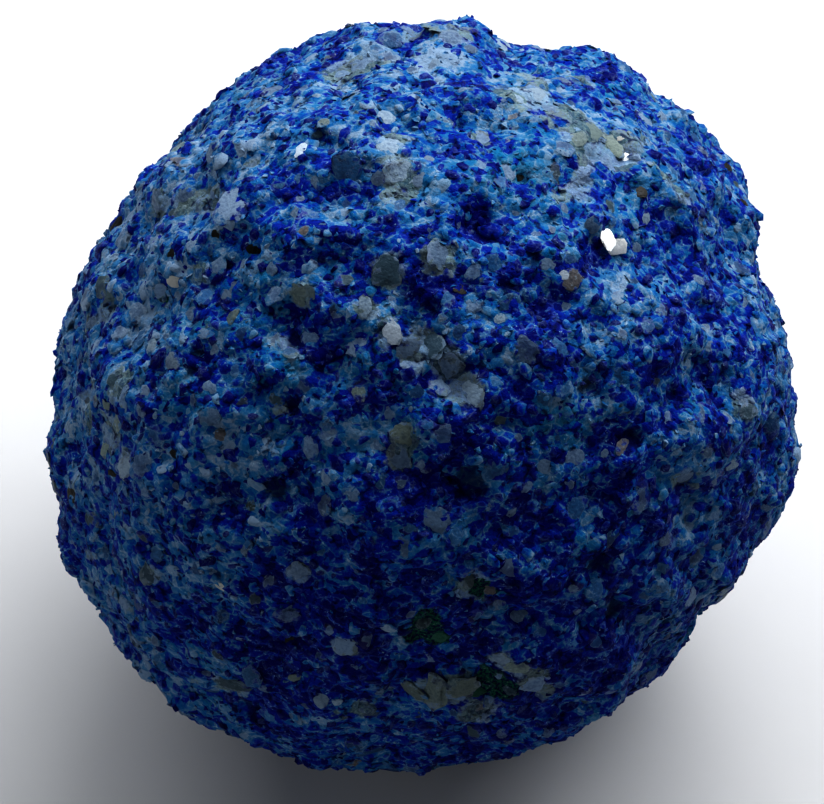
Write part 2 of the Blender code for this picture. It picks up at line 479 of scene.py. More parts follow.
# Spots where sand grains crowd out the azurite, and spots of malachite: across, down, reach in pixels.
SANDY_SPOTS = (
    (452, 32, 24), (352, 72, 30), (520, 95, 30), (392, 140, 18), (396, 172, 22), (580, 136, 22),
    (612, 146, 26), (480, 140, 14), (388, 271, 20), (440, 256, 20), (368, 310, 15), (388, 332, 18),
    (420, 348, 24), (448, 366, 20), (465, 392, 20), (300, 298, 16), (118, 385, 20), (112, 432, 24),
    (122, 466, 18), (398, 458, 16), (404, 436, 16), (150, 574, 14), (300, 574, 14), (344, 648, 16),
    (232, 684, 22), (432, 692, 24), (458, 690, 22), (480, 712, 26), (502, 664, 18), (530, 680, 22),
    (544, 688, 14), (472, 584, 20), (745, 405, 18), (684, 480, 16), (160, 206, 20),
)
COPPER_SPOTS = (
    (426, 622, 16), (436, 636, 15), (414, 634, 12), (490, 680, 20), (508, 690, 14), (165, 296, 8),
    (480, 588, 12),
)

# Where the crystals differ most in tone: across, down, reach in pixels. The added contrast is painted
# light and shade on the left side, standing in for the shading of the relief that the lamps leave flat
# there.
RELIEF_SHADE_SPOTS = (
    (200, 290, 130), (180, 430, 120), (240, 580, 110),
)
RELIEF_SHADE_MORE = 0.65  # how much more they differ in the middle of such a spot

# Holes between the grains that stay bare: across, down, width in pixels.
HOLES = (
    (522, 178, 16), (534, 258, 22), (507, 287, 20), (296, 340, 20), (470, 484, 34), (629, 440, 26),
    (590, 390, 22), (675, 398, 20), (276, 489, 26), (214, 576, 18), (289, 640, 24), (251, 712, 30),
    (600, 566, 30), (618, 610, 28), (632, 478, 20), (755, 448, 16), (430, 309, 18), (318, 136, 20),
    (256, 252, 12), (460, 122, 16), (700, 170, 18), (198, 352, 14), (190, 371, 14), (159, 371, 13),
    (266, 384, 18), (291, 407, 18), (112, 304, 16), (228, 262, 11),
)

FIELD_SIZES = ((4.6 * MM, 0.10), (1.9 * MM, 0.14), (0.8 * MM, 0.20))  # each noise's size and weight
FIELD_SHIFTS = {
    "pale": Vector((0.0, 0.0, 0.0)),
    "sandy": Vector((3.1, 7.7, 1.9)),
    "green": Vector((9.2, 2.4, 5.5)),
}
LOOSE_SAND = (0.18, 0.52)  # the sandy field, from where grains begin to crowd to where they are dense
LOOSE_MOST = 0.8
HOLE_REACH = 0.65  # how far a hole's slope reaches, as a share of its width
HOLE_BARE = 0.35  # how far from its middle no stone is set
HOLE_FULL = 0.6  # the share of the slope that reaches the full depth
HOLE_STRAY = 0.5
HOLE_STRAY_SIZE = 0.18 * MM
CELL = 0.5 * MM  # of the boxes that stones are looked up by


class Spacing:
    """Remembers the stones set so far, so that the next ones keep their distance."""

    def __init__(self):
        self.cells = defaultdict(list)

    def key(self, place):
        return tuple(int(math.floor(value / CELL)) for value in place)

    def is_free(self, place, across, apart):
        """Whether no stone lies nearer than this share of both half widths."""
        x, y, z = self.key(place)
        for i, j, k in itertools.product((-1, 0, 1), repeat=3):
            for other, wide in self.cells.get((x + i, y + j, z + k), ()):
                if (other - place).length < apart * (across + wide) / 2.0:
                    return False
        return True

    def take(self, place, across):
        self.cells[self.key(place)].append((place, across))


class Ground:
    """A mesh to find picture places on, and where its patches and holes lie."""

    def __init__(self, mesh):
        self.mesh = mesh
        faces = [face.vertices for face in mesh.polygons]
        self.tree = BVHTree.FromPolygons([vert.co for vert in mesh.vertices], faces)
        self.patches = [(self.under(*row[:2])[0], Patch(*row)) for row in PATCHES]
        self.holes = self.spots(HOLES)
        self.sandy = self.spots(SANDY_SPOTS)
        self.copper = self.spots(COPPER_SPOTS)
        self.mixed = self.spots(RELIEF_SHADE_SPOTS)

    def under(self, across, down):
        """The place and normal on the mesh that a picture place shows, or that lies nearest to it."""
        start = camera_place()
        target = picture_place(across, down)
        place, normal, _, _ = self.tree.ray_cast(start, (target - start).normalized())
        if place is None:
            place, normal, _, _ = self.tree.find_nearest(target)
        return place, normal

    def field(self, name, places):
        """How pale, sandy or green the azurite is at some places. 0 is even. The paleness also holds
        painted light and shade.
        """
        shift = FIELD_SHIFTS[name]
        value = np.zeros(len(places))
        for size, weight in FIELD_SIZES:
            value += [weight * 2.0 * noise.noise(Vector(place) / size + shift) for place in places]
        for middle, patch in self.patches:
            distance = np.linalg.norm(places - np.array(middle), axis=1) / (patch.reach * PICTURE_SCALE)
            value += getattr(patch, name) * np.exp(-(distance**2))
        return value

    def spots(self, rows):
        """Each spot's middle on the mesh, and its size in metres."""
        return [(self.under(across, down)[0], size * PICTURE_SCALE) for across, down, size in rows]

    def nearness(self, spots, places):
        """How near each place is to the nearest of some spots: 1 in a spot's middle, and 0 far away."""
        best = np.zeros(len(places))
        for middle, reach in spots:
            distance = np.linalg.norm(places - np.array(middle), axis=1) / reach
            best = np.maximum(best, np.exp(-(distance**2)))
        return best

    def stains(self, places):
        """How sandy, how rich in copper green and how deep in a hole each place is."""
        loose = smooth(self.field("sandy", places), *LOOSE_SAND) * LOOSE_MOST
        sandy = np.maximum(self.nearness(self.sandy, places), loose)
        holes = [self.hole_share(Vector(place)) for place in places]
        return np.column_stack([sandy, self.nearness(self.copper, places), holes])

    def in_hole(self, place, margin):
        """Whether a place lies within this margin of a hole's bare middle."""
        return any((place - middle).length < wide * HOLE_BARE + margin for middle, wide in self.holes)

    def hole_share(self, place):
        """1 in the middle of a hole, and 0 beyond its edge."""
        share = 0.0
        for middle, wide in self.holes:
            distance = (place - middle).length
            if distance < wide:
                share = max(share, 1.0 - distance / (wide * HOLE_REACH))
        if share > 0.0:
            share += HOLE_STRAY * noise.noise(place / HOLE_STRAY_SIZE)
        return smooth(share, 0.0, HOLE_FULL)

    def places(self, count, rng):
        """Places and smooth normals spread evenly by chance over the mesh."""
        mesh = self.mesh
        corners = np.empty(len(mesh.polygons) * 3, np.int32)
        mesh.polygons.foreach_get("vertices", corners)
        corners = corners.reshape(-1, 3)
        points = vectors_of(mesh.vertices, "co")
        normals = vectors_of(mesh.vertices, "normal")
        first, second, third = (points[corners[:, side]] for side in range(3))
        areas = np.linalg.norm(np.cross(second - first, third - first), axis=1)
        chosen = rng.choice(len(corners), size=count, p=areas / areas.sum())
        weights = rng.dirichlet((1.0, 1.0, 1.0), size=count)[:, :, None]
        found = (points[corners[chosen]] * weights).sum(axis=1)
        facing = (normals[corners[chosen]] * weights).sum(axis=1)
        facing /= np.linalg.norm(facing, axis=1, keepdims=True)
        return found, facing


LANDMARK_LIFT = 0.06  # how much farther the landmarks rise, as a share of their half width
WHITE_LIFT = 0.22  # the same, for the white ones
LANDMARK_GUARD = 1.05  # how much room they keep, as a share of their width
LONE_SAND = 0.12  # the share of the sand grains that is kept where nothing is sandy
WIDTHS = (0.6, 1.75)  # the narrowest and widest stones, against the middling one
SAND_KINDS = ("soot", "rust", "olive", "smoky_olive", "haze", "pale_quartz", "quartz", "blue_quartz")
SAND_SHARES = (0.008, 0.003, 0.039, 0.050, 0.120, 0.060, 0.300, 0.420)

# How a kind of stone fills the crust: the places tried, the spread of its widths, how far apart two of
# them are as a share of both half widths, and how far each keeps from a hole as a share of its width.
Filling = namedtuple("Filling", "tries spread apart margin")
SAND_FILLING = Filling(12000, 0.26, 0.95, 0.4)
CRYSTAL_FILLING = Filling(60000, 0.24, 0.70, 0.2)
SPECK_FILLING = Filling(110000, 0.22, 0.55, 0.0)


def candidates(crust, filling, middling, rng):
    """Places where stones might go, as an iterator of vectors, normals and widths."""
    places, normals = crust.places(filling.tries, rng)
    across = middling * np.clip(rng.lognormal(0.0, filling.spread, filling.tries), *WIDTHS)
    return zip(map(Vector, places), map(Vector, normals), map(float, across), strict=True)


def fits(crust, spacing, filling, place, across):
    """Whether a stone has room at a place, and no hole is near."""
    free = spacing.is_free(place, across, filling.apart)
    return free and not crust.in_hole(place, across * filling.margin)


def landmarks(crust, spacing):
    """The sand grains that stand out."""
    stones = []
    for across, down, wide, kind in LANDMARKS:
        place, normal = crust.under(across, down)
        size = wide * PICTURE_SCALE
        lift = WHITE_LIFT if kind == "white" else LANDMARK_LIFT
        stones.append(Stone(place, normal, size, kind, lift))
        spacing.take(place, size * LANDMARK_GUARD)
    return stones


def set_sand(crust, spacing, sizes, rng):
    """The landmarks, then grains of chance kinds, most of them where the crust is sandy."""
    stones = landmarks(crust, spacing)
    found = list(candidates(crust, SAND_FILLING, sizes.sand_across, rng))
    crowding = crust.stains(np.array([place[:] for place, _, _ in found]))[:, 0]
    for (place, normal, across), sandy in zip(found, crowding, strict=True):
        if len(stones) >= sizes.sand_count or rng.random() > LONE_SAND + (1.0 - LONE_SAND) * sandy:
            continue
        if fits(crust, spacing, SAND_FILLING, place, across):
            kind = str(rng.choice(SAND_KINDS, p=SAND_SHARES))
            stones.append(Stone(place, normal, across, kind, 0.0))
            spacing.take(place, across)
    return stones


def set_azurite(crust, spacing, filling, middling, most, rng):
    """Azurite crystals wherever there is room, up to a number of them."""
    stones = []
    for place, normal, across in candidates(crust, filling, middling, rng):
        if len(stones) >= most:
            break
        if fits(crust, spacing, filling, place, across):
            stones.append(Stone(place, normal, across, "azurite", 0.0))
            spacing.take(place, across)
    return stones


@functools.cache
def set_stones():
    """Every sand grain, crystal and speck, largest first, each kept clear of the ones before it."""
    sizes = bpy.context.scene.nodule_sizes
    rng = np.random.default_rng(SEED)
    crust = Ground(bpy.data.objects["azurite_crust"].data)
    spacing = Spacing()
    fill = functools.partial(set_azurite, crust, spacing)
    return {
        "crust": crust,
        "sand_grains": set_sand(crust, spacing, sizes, rng),
        "azurite_crystals": fill(CRYSTAL_FILLING, sizes.crystal_across, sizes.crystal_count, rng),
        "azurite_specks": fill(SPECK_FILLING, sizes.speck_across, sizes.speck_count, rng),
    }


# ---- The stones' shapes ----

# How a kind of stone is set: its stretch, its height against its width, how far its top stands above the
# crust as a share of its half width, and how far its shading is evened.
Setting = namedtuple("Setting", "stretch flat top softness")
SAND_SETTING = Setting((0.80, 1.0, 1.16), 0.34, (0.05, 0.17), 0.72)
CRYSTAL_SETTING = Setting((0.75, 1.0, 1.25), 0.60, (0.10, 0.50), 0.40)
SPECK_SETTING = Setting((0.75, 1.0, 1.25), 0.80, (0.10, 0.70), 0.0)

# How a kind of azurite crystal differs from the others: its own seed, how far its moods stray, how many
# shapes it has, how many corners each is made from, its setting, how dark it is, and how much painted
# light brightens its sides and edges.
Kind = namedtuple("Kind", "seed stray shapes corners setting darkness rim_light")
AZURITE_KINDS = {
    "azurite_crystals": Kind(SEED + 2, 0.08, 24, 16, CRYSTAL_SETTING, 0.22, 0.32),
    "azurite_specks": Kind(SEED + 3, 0.12, 32, 8, SPECK_SETTING, 0.09, 0.14),
}

SAND_SEED = SEED + 1
SAND_MOOD_STRAY = 0.1
COARSE_SHAPES = 24
FINE_SHAPES = 12
COARSE, FINE = 2, 3  # how often each shape's ball is divided
FINE_FROM = 0.60 * MM  # sand grains wider than this get the finer shapes
SIZE_STRAY = (0.9, 1.1)  # times by which a stone's size strays along each axis
SAND_FLATS = 7
SAND_FLAT_DEPTHS = (0.70, 0.92)  # how far the flatter sides lie from a grain's middle
SAND_REACH = 1.05  # the farthest that a grain's surface lies from its middle, before its unevenness
SAND_UNEVENNESS = ((1.4, 0.30), (3.3, 0.22))  # waves round the grain, and their height
NOISE_ROOM = 50.0  # how far apart two grains may lie in the noise
EDGE_ON = 0.01
FAR = 1.0  # a distance in metres that no edge reaches
FLAT_ANGLE = 0.02  # radians, below which an edge between two faces isn't a real one
THINNEST = 1e-9


def sand_shape(rng, fineness):
    """A sand grain: a ball with some flatter sides and an uneven outline."""
    build = bmesh.new()
    bmesh.ops.create_icosphere(build, subdivisions=fineness, radius=1.0)
    flats = []
    for _ in range(SAND_FLATS):
        facing = Vector(rng.normal(size=3)).normalized()
        flats.append((facing, rng.uniform(*SAND_FLAT_DEPTHS)))
    shift = Vector(rng.uniform(0.0, NOISE_ROOM, 3))
    for vert in build.verts:
        out = vert.co.normalized()
        reach = SAND_REACH
        for facing, depth in flats:
            reach = min(reach, depth / max(out.dot(facing), EDGE_ON))
        uneven = sum(rise * noise.noise(out * waves + shift) for waves, rise in SAND_UNEVENNESS)
        vert.co = out * (reach + uneven)
    return arrays_of(build)


def chip(rng, corners):
    """A splinter with few faces: the hull of some points on a ball."""
    build = bmesh.new()
    for _ in range(corners):
        build.verts.new(Vector(rng.normal(size=3)).normalized())
    hull = bmesh.ops.convex_hull(build, input=build.verts)
    inside = [item for item in hull["geom_interior"] if isinstance(item, bmesh.types.BMVert)]
    bmesh.ops.delete(build, geom=inside, context="VERTS")
    return arrays_of(build)


def arrays_of(build):
    """A stone's points, triangles and real edges, and frees its bmesh."""
    bmesh.ops.recalc_face_normals(build, faces=build.faces)
    build.verts.index_update()
    points = np.array([vert.co[:] for vert in build.verts])
    faces = []
    edges = []
    for face in build.faces:
        faces.append([vert.index for vert in face.verts])
        across = [next(edge for edge in face.edges if corner not in edge.verts) for corner in face.verts]
        edges.append([edge.calc_face_angle(math.pi) > FLAT_ANGLE for edge in across])
    build.free()
    return points, np.array(faces), np.array(edges)


def turns(count, rng):
    """Random rotation matrices."""
    rows = rng.normal(size=(count, 4))
    return np.array([Quaternion(row).normalized().to_matrix() for row in rows])


def smooth(value, low, high):
    """0 at low, 1 at high, with an even turn between."""
    value = np.clip((value - low) / (high - low), 0.0, 1.0)
    return value * value * (3.0 - 2.0 * value)


def each(stones, field):
    """One field of every stone, as rows."""
    return np.array([getattr(stone, field) for stone in stones])


def joined_stones(name, stones, shapes, shape_of, setting, values, rng):
    """One mesh of many closed stones set in the crust. values holds each attribute's rows by stone."""
    places = each(stones, "place")
    normals = each(stones, "normal")
    half = each(stones, "across") / 2.0
    turn = turns(len(stones), rng)
    scale = np.array(setting.stretch) * rng.uniform(*SIZE_STRAY, (len(stones), 3))
    raised = half * (rng.uniform(*setting.top, len(stones)) + each(stones, "lift") - setting.flat)
    points, faces, edges, asides, owners = [], [], [], [], []
    total = 0
    for index, (shape, triangles, real) in enumerate(shapes):
        mine = np.flatnonzero(shape_of == index)
        stretched = shape[None] * scale[mine][:, None]
        local = np.einsum("nij,npj->npi", turn[mine], stretched) * half[mine, None, None]
        height = np.einsum("npi,ni->np", local, normals[mine])
        aside = local - height[:, :, None] * normals[mine][:, None]
        asides.append((np.linalg.norm(aside, axis=2) / half[mine, None]).ravel())
        local = aside + (height * setting.flat)[:, :, None] * normals[mine][:, None]
        moved = local + (places[mine] + normals[mine] * raised[mine, None])[:, None]
        points.append(moved.reshape(-1, 3))
        owners.append(np.repeat(mine, len(shape)))
        starts = total + np.arange(len(mine)) * len(shape)
        faces.append((triangles[None] + starts[:, None, None]).reshape(-1, 3))
        edges.append(np.tile(real, (len(mine), 1)))
        total += len(mine) * len(shape)
    points, faces = np.concatenate(points), np.concatenate(faces)
    points[:, 2] = np.maximum(points[:, 2], 0.0)
    mesh = mesh_of(name, points, faces)
    owners = np.concatenate(owners)
    for title, rows in values.items():
        add_values(mesh, title, rows[owners])
    add_values(mesh, "aside", np.concatenate(asides))
    add_values(mesh, "edge", edge_distances(points, faces, np.concatenate(edges)), domain="CORNER")
    if setting.softness > 0.0:
        mesh.shade_smooth()
        soften(mesh, normals[owners], setting.softness)
    else:
        mesh.shade_flat()
    return mesh


def soften(mesh, crust_normals, softness):
    """Turns the shading normals towards the crust's, because light spreads in the stones."""
    blend = vectors_of(mesh.vertices, "normal") * (1.0 - softness) + crust_normals * softness
    blend /= np.linalg.norm(blend, axis=1, keepdims=True)
    mesh.normals_split_custom_set_from_vertices(blend)


def edge_distances(points, faces, edges):
    """For each corner of each triangle, how far it is from each side that is a real edge."""
    corners = points[faces]
    sides = np.linalg.norm(np.roll(corners, -2, axis=1) - np.roll(corners, -1, axis=1), axis=2)
    doubled = np.cross(corners[:, 1] - corners[:, 0], corners[:, 2] - corners[:, 0])
    heights = np.linalg.norm(doubled, axis=1)[:, None] / np.maximum(sides, THINNEST)
    distances = np.zeros((len(faces), 3, 3))
    for corner in range(3):
        distances[:, corner, corner] = heights[:, corner]
        distances[~edges[:, corner], :, corner] = FAR
    return distances


def vectors_of(vertices, field):
    """The places or the normals of a mesh's vertices, as rows."""
    rows = np.empty(len(vertices) * 3)
    vertices.foreach_get(field, rows)
    return rows.reshape(-1, 3)


def mesh_of(name, points, faces):
    """A mesh of triangles."""
    mesh = bpy.data.meshes.new(name)
    mesh.vertices.add(len(points))
    mesh.vertices.foreach_set("co", points.ravel())
    mesh.loops.add(faces.size)
    mesh.loops.foreach_set("vertex_index", faces.ravel().astype(np.int32))
    mesh.polygons.add(len(faces))
    mesh.polygons.foreach_set("loop_start", np.arange(0, faces.size, 3, dtype=np.int32))
    mesh.update(calc_edges=True)
    return mesh


def add_values(mesh, title, rows, domain="POINT"):
    """Stores a number or a vector for each point or corner of a mesh, for its material to read."""
    kind, field = ("FLOAT", "value") if rows.ndim == 1 else ("FLOAT_VECTOR", "vector")
    values = mesh.attributes.new(title, kind, domain)
    values.data.foreach_set(field, np.ascontiguousarray(rows).ravel())


# ---- Moods and tints ----

GREEN_STRAY = 0.6  # how far green strays, against how far pale does
BLUE_STRAY = (0.3, 2.0)  # times by which a sand grain's blueness strays
TINT_STRAY = (0.75, 1.25)  # and its brightness

# The colour of each kind of sand grain, and how much of the azurite's blue is in it.
SAND_TINTS = {
    "pale_quartz": ("pale_quartz", 0.06),
    "quartz": ("quartz", 0.12),
    "blue_quartz": ("frost", 0.30),
    "haze": ("haze", 0.08),
    "milky": ("milky_quartz", 0.0),
    "olive": ("olive", 0.06),
    "smoky_olive": ("smoky_quartz", 0.10),
    "cream": ("cream", 0.0),
    "white": ("white", 0.0),
    "rosy": ("rosy", 0.05),
    "rust": ("rust", 0.0),
    "soot": ("soot", 0.0),
    "malachite": ("malachite", 0.0),
}
CLEAN_KINDS = ("milky", "cream", "white", "soot", "malachite")
CLEAN_COATING = -0.20  # so low that no azurite shows
COATINGS = ((0.16, 0.38), (0.25, 0.55))  # the landmarks' range, then the other grains'
CLEARNESSES = ((0.15, 0.55), (0.3, 1.0))


def moods(crust, places, spread, rng):
    """How pale and how green the azurite is at some places, with a stray of their own, and its tone. The
    paleness is partly painted light and shade.
    """
    pale = crust.field("pale", places) + rng.normal(0.0, spread, len(places))
    green = crust.field("green", places) + rng.normal(0.0, spread * GREEN_STRAY, len(places))
    # painted light and shade: more contrast in tone where the relief's shading is missing
    contrast = 1.0 + RELIEF_SHADE_MORE * crust.nearness(crust.mixed, places)
    return np.column_stack([pale, green, 0.5 + contrast * rng.uniform(-0.5, 0.5, len(places))])


def sand_tints(stones, rng):
    """The colours of sand grains by their kind, with some of the azurite's blue in them."""
    base = np.array([named_colour(SAND_TINTS[stone.kind][0]) for stone in stones])
    blueness = np.array([SAND_TINTS[stone.kind][1] for stone in stones])
    blueness = (blueness * rng.uniform(*BLUE_STRAY, len(stones)))[:, None]
    tints = base * (1.0 - blueness) + np.array(named_colour("azure")) * blueness
    return tints * rng.uniform(*TINT_STRAY, (len(stones), 1))


def sand_finish(stones, rng):
    """How much azurite has grown over each sand grain, and how clear its middle is."""
    clean = np.isin(each(stones, "kind"), CLEAN_KINDS)
    lifted = each(stones, "lift") > 0.0
    finish = {"coating": (COATINGS, CLEAN_COATING), "clearness": (CLEARNESSES, 0.0)}
    for title, (ranges, when_clean) in finish.items():
        amounts = np.where(lifted, *(rng.uniform(*ends, len(stones)) for ends in ranges))
        finish[title] = np.where(clean, when_clean, amounts)
    return finish


# ---- Materials ----

AZURITE_RAMP = ((0.00, "night"), (0.34, "ultramarine"), (0.52, "azure"), (0.72, "frost"), (1.00, "haze"))
SANDY_RAMP = ((0.00, "smoky_quartz"), (0.35, "olive"), (0.65, "quartz"), (1.00, "pale_quartz"))
COPPER_RAMP = ((0.42, "pit"), (0.56, "malachite"), (0.64, "malachite"), (0.74, "olive"))
GLOSS_TINT = (0.35, 0.65, 1.0, 1.0)  # frosted azurite reflects bluish
AZURITE_GLOSS = {"IOR": 1.5, "Specular_IOR_Level": 0.07, "Specular_Tint": GLOSS_TINT}
SAND_GLOSS = {"IOR": 1.5, "Specular_IOR_Level": 0.15, "Transmission_Weight": 0.2}
CLEAR_TINT = (0.45, 0.52, 0.62)  # a clear grain shows the dark matrix behind it
DARKER_TINT = (0.62, 0.68, 0.76)

# Sizes of the patterns, and how deep each piece's fine relief reads.
GRAIN_SIZE = 0.46 * MM
BIT_SIZE = 0.23 * MM
WANDER_SIZE = 0.16 * MM
WANDER = 0.11 * MM
SMALL_SIZE = 0.07 * MM
OVERGROWTH_SIZE = 0.20 * MM
MIDDLING_SIZE = 0.30 * MM
BROAD_SIZE = 0.90 * MM
CRUST_RELIEF = 0.07 * MM
CRYSTAL_RELIEF = 0.03 * MM
SAND_RELIEF = 0.02 * MM


def azurite_pattern(shade):
    """The readings that every azurite colour is made from."""
    # pale is partly painted light and shade: lighter near the lit top, darker in the shaded lower half
    pale, green, tone = shade.parts(shade.attribute("mood", "Vector"))
    sandy, copper, hole = shade.parts(shade.attribute("stain", "Vector"))
    warped = shade.warped(WANDER_SIZE, WANDER)
    grain = shade.cells(warped, GRAIN_SIZE)
    bit = shade.cells(warped, BIT_SIZE)
    return SimpleNamespace(
        pale=pale,
        green=green,
        tone=tone,
        sandy=sandy,
        copper=copper,
        hole=hole,
        grain_roll=shade.channel(grain.sibling("Color"), "Red"),
        sand_roll=shade.channel(grain.sibling("Color"), "Green"),
        bit_roll=shade.channel(bit.sibling("Color"), "Red"),
        grain_middle=grain,
        bit_middle=bit,
        grain_edge=shade.cells(warped, GRAIN_SIZE, feature="DISTANCE_TO_EDGE"),
        bit_edge=shade.cells(warped, BIT_SIZE, feature="DISTANCE_TO_EDGE"),
        small=shade.clouds(SMALL_SIZE, detail=2.0),
        middling=shade.clouds(MIDDLING_SIZE),
        broad=shade.clouds(BROAD_SIZE),
    )


def azurite_colour(shade, pattern, value):
    """The azurite's colour, from night blue to haze, with frosted lines and stains, and painted shade in
    the slits and holes.
    """
    small, middling = pattern.small, pattern.middling
    greener = 0.8 * pattern.green
    blotchy = 1.4 * (pattern.broad - 0.5)
    lines = (1.0 - pattern.bit_edge.step(0.02, 0.16)) * middling.step(0.42, 0.60)
    value = value + 0.20 * lines
    body = shade.ramp(value, AZURITE_RAMP)
    cast = (blotchy + greener).step(0.0, 0.7) * value.step(0.25, 0.6) * 0.7
    body = shade.mix(cast, body, "teal")
    # lavender on the paler azurite: partly its own purple cast, partly painted sheen where the top is
    # lit
    purple = (blotchy - greener).step(0.1, 0.8) * value.step(0.45, 0.8) * 0.4
    body = shade.mix(purple, body, "lavender")
    body = shade.mix(lines * (0.10 + 0.18 * value.step(0.15, 0.55)), body, "haze")
    # bright flecks: partly frosted specks, partly painted glints
    flecks_and_glints = small.step(0.64, 0.70) * middling.step(0.45, 0.6) * 0.5
    body = shade.mix(flecks_and_glints, body, "fleck")
    grit = shade.ramp(0.9 * pattern.sand_roll + 0.9 * (small - 0.5), SANDY_RAMP)
    body = shade.mix((pattern.sandy + 1.2 * (middling - 0.5)).step(0.40, 0.62) * 0.8, body, grit)
    green_rust = (pattern.copper + 0.9 * (middling - 0.5)).step(0.35, 0.55)
    body = shade.mix(green_rust, body, shade.ramp(small, COPPER_RAMP))
    # painted shade: near black in the slits between the grain cells and in the holes
    slits = (1.0 - pattern.grain_edge.step(0.02, 0.14)) * (1.0 - middling.step(0.38, 0.46))
    dark = slits.maths("MAXIMUM", slits * 0.8, pattern.hole.step(0.1, 0.8) * 0.75)
    return shade.mix(dark, body, "pit")


def crust_material():
    """Azurite cement: paler than the crystals set in it."""
    shade = Shade("azurite_crust", **AZURITE_GLOSS)
    pattern = azurite_pattern(shade)
    small, middling = pattern.small, pattern.middling
    value = 0.48 + 0.75 * pattern.pale + 0.45 * (pattern.grain_roll - 0.5)
    value = value + 0.45 * (pattern.bit_roll - 0.5) + 0.5 * (middling - 0.5) + 0.4 * (small - 0.5)
    body = azurite_colour(shade, pattern, value)
    height = pattern.bit_middle * -0.5 - pattern.grain_middle + 0.4 * small
    relief = shade.bump(height, CRUST_RELIEF, 1.0)
    return shade.finish(Base_Color=body, Roughness=0.5 + 0.3 * middling, Normal=relief)


def azurite_material(name, darkness, rim_light):
    """Azurite crystals: each its own blue, lighter round the sides and along the edges with painted
    light.
    """
    shade = Shade(name, **AZURITE_GLOSS)
    pattern = azurite_pattern(shade)
    small, middling = pattern.small, pattern.middling
    value = 0.47 - darkness + 0.75 * pattern.pale + 0.92 * (pattern.tone - 0.5)
    value = value + 0.14 * (pattern.bit_roll - 0.5) + 0.25 * (middling - 0.5) + 0.22 * (small - 0.5)
    # painted light: lighter towards each crystal's sides, as if light spread through it
    value = value + rim_light * shade.attribute("aside", "Fac").step(0.66, 0.98)
    body = azurite_colour(shade, pattern, value)
    # painted highlight along each crystal's edges, halfway to haze
    frosted = 1.0 - shade.edge_distance().step(0.0, bpy.context.scene.nodule_sizes.rim_across)
    rim = frosted * rim_light * middling.step(0.4, 0.6)
    body = shade.mix(rim, body, shade.mix(0.5, body, "haze"))
    relief = shade.bump(pattern.bit_middle * -0.5 + small, CRYSTAL_RELIEF, 0.8)
    return shade.finish(Base_Color=body, Roughness=0.42 + 0.3 * middling, Normal=relief)


def sand_material():
    """Sand grains: dark and clear in the middle, paler at the sides, with azurite over their edges."""
    shade = Shade("sand_grains", **SAND_GLOSS)
    tint = shade.attribute("tint", "Color")
    coating = shade.attribute("coating", "Fac")
    clearness = shade.attribute("clearness", "Fac")
    aside = shade.attribute("aside", "Fac")
    pattern = azurite_pattern(shade)
    small, middling = pattern.small, pattern.middling
    value = 0.50 + 0.8 * pattern.pale + 0.5 * (pattern.grain_roll - 0.5)
    value = value + 0.4 * (pattern.bit_roll - 0.5) + 0.4 * (small - 0.5)
    blue = azurite_colour(shade, pattern, value)
    clear = shade.mix(0.25, shade.mix(1.0, tint, CLEAR_TINT, blend="MULTIPLY"), blue)
    cloudy = (0.55 + 3.0 * (middling - 0.5) + 0.5 * aside - clearness).step(-0.5, 0.5)
    body = shade.mix(cloudy, clear, tint)
    darker = shade.mix(1.0, body, DARKER_TINT, blend="MULTIPLY")
    body = shade.mix((small + 0.4 * (1.0 - clearness)).step(0.55, 0.85), darker, body)
    # painted highlights: small pale spots on the clearer grains
    spots = small.step(0.58, 0.66) * middling.step(0.50, 0.62) * clearness.step(0.0, 0.3)
    body = shade.mix(spots * 0.6, body, "pale_quartz")
    ragged = shade.clouds(OVERGROWTH_SIZE, detail=4.0)
    grown = (0.8 * aside + 2.3 * (ragged - 0.5) + coating).step(0.84, 1.12)
    border = grown * (1.0 - grown) * 3.0
    body = shade.mix(border, body, shade.mix(0.5, tint, "pale_quartz"))
    body = shade.mix(grown, body, blue)
    relief = shade.bump(pattern.bit_middle * -0.3 + small, SAND_RELIEF, 0.9)
    return shade.finish(Base_Color=body, Roughness=0.45 + 0.25 * middling, Normal=relief)


# ---- Operators ----


def add_piece(name, mesh, material):
    """Puts a piece of the nodule in the scene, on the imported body."""
    mesh.materials.append(material)
    piece = bpy.data.objects.new(name, mesh)
    bpy.context.scene.collection.objects.link(piece)
    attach(piece, "root")
    return piece


class NODULE_OT_crust(bpy.types.Operator):
    """Make the nodule's crust of azurite cement, which replaces the plain solid"""

    bl_idname = "nodule.crust"
    bl_label = "Crust"

    def execute(self, context):
        ground = Ground(SOLID.data)
        mesh = crust_mesh(context.scene.nodule_sizes, ground)
        piece = add_piece("azurite_crust", mesh, crust_material())
        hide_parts("nodule")
        points = vectors_of(mesh.vertices, "co")
        add_values(mesh, "mood", moods(ground, points, 0.0, np.random.default_rng(SEED)))
        add_values(mesh, "stain", ground.stains(points))
        return {"FINISHED"}


def values_of(layout, stones, spread, rng):
    """What each stone's azurite is like, by where it is set."""
    places = each(stones, "place")
    crust = layout["crust"]
    return {"mood": moods(crust, places, spread, rng), "stain": crust.stains(places)}


def grow_azurite(name):
    """Adds the piece that holds one kind of azurite crystal."""
    layout = set_stones()
    stones = layout[name]
    kind = AZURITE_KINDS[name]
    rng = np.random.default_rng(kind.seed)
    shapes = [chip(rng, kind.corners) for _ in range(kind.shapes)]
    values = values_of(layout, stones, kind.stray, rng)
    shape_of = rng.integers(0, len(shapes), len(stones))
    mesh = joined_stones(name, stones, shapes, shape_of, kind.setting, values, rng)
    add_piece(name, mesh, azurite_material(name, kind.darkness, kind.rim_light))


